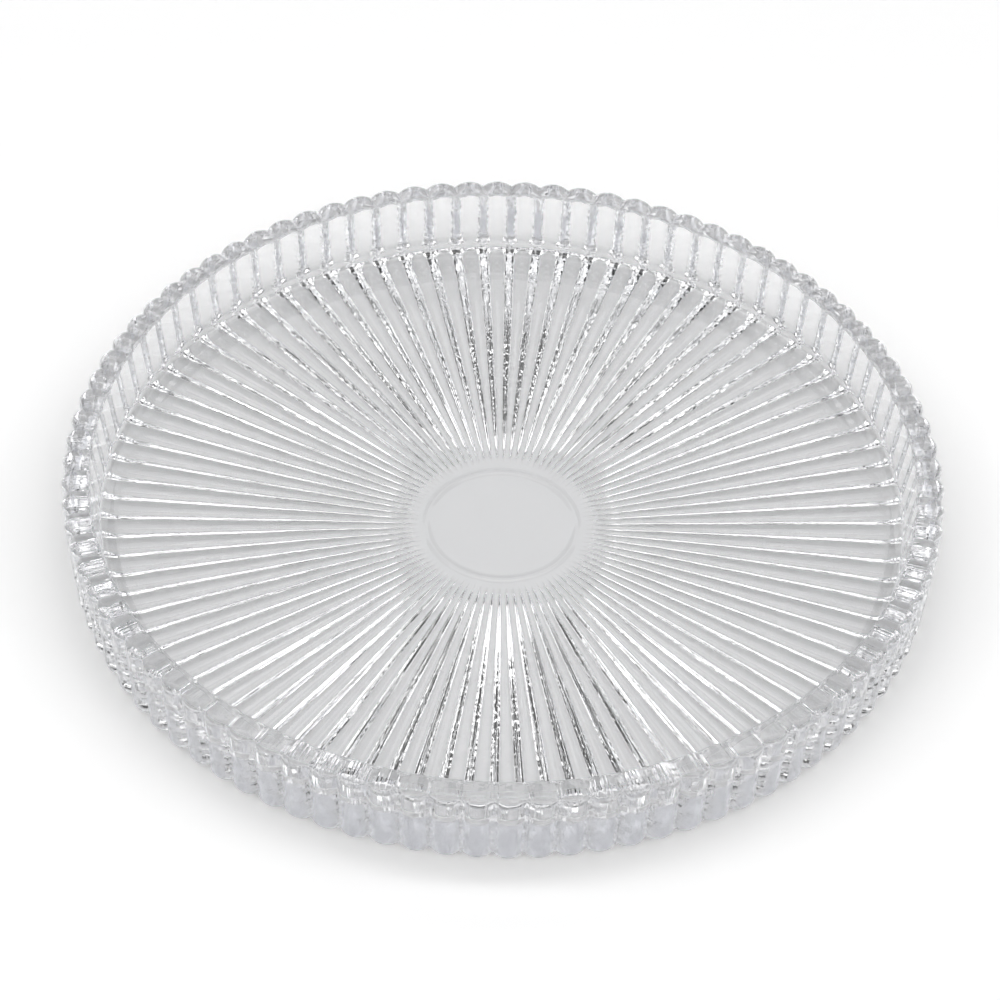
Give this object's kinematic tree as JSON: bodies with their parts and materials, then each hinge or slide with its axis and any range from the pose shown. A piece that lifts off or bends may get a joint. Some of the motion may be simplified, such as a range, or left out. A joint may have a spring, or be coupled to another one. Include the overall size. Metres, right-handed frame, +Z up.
{
  "type": "vanity tray",
  "caption": "Round tray of pressed clear glass: smooth inside, with convex reeds that run out under the floor, up the wall and over the rim. Holds perfume bottles and small items.",
  "frame": {"origin": "centre of the base, on the plane that the tray stands on", "axes": "+Z up, out of the tray's mouth; one reed crest points along +X"},
  "size_m": [0.2502, 0.2502, 0.026],
  "materials": {
    "clear_glass": "clear soda-lime glass, fire-polished, with the faint ripple of pressing"
  },
  "bodies": {
    "root": {"glass_tray": "clear_glass"}
  },
  "joints": []
}
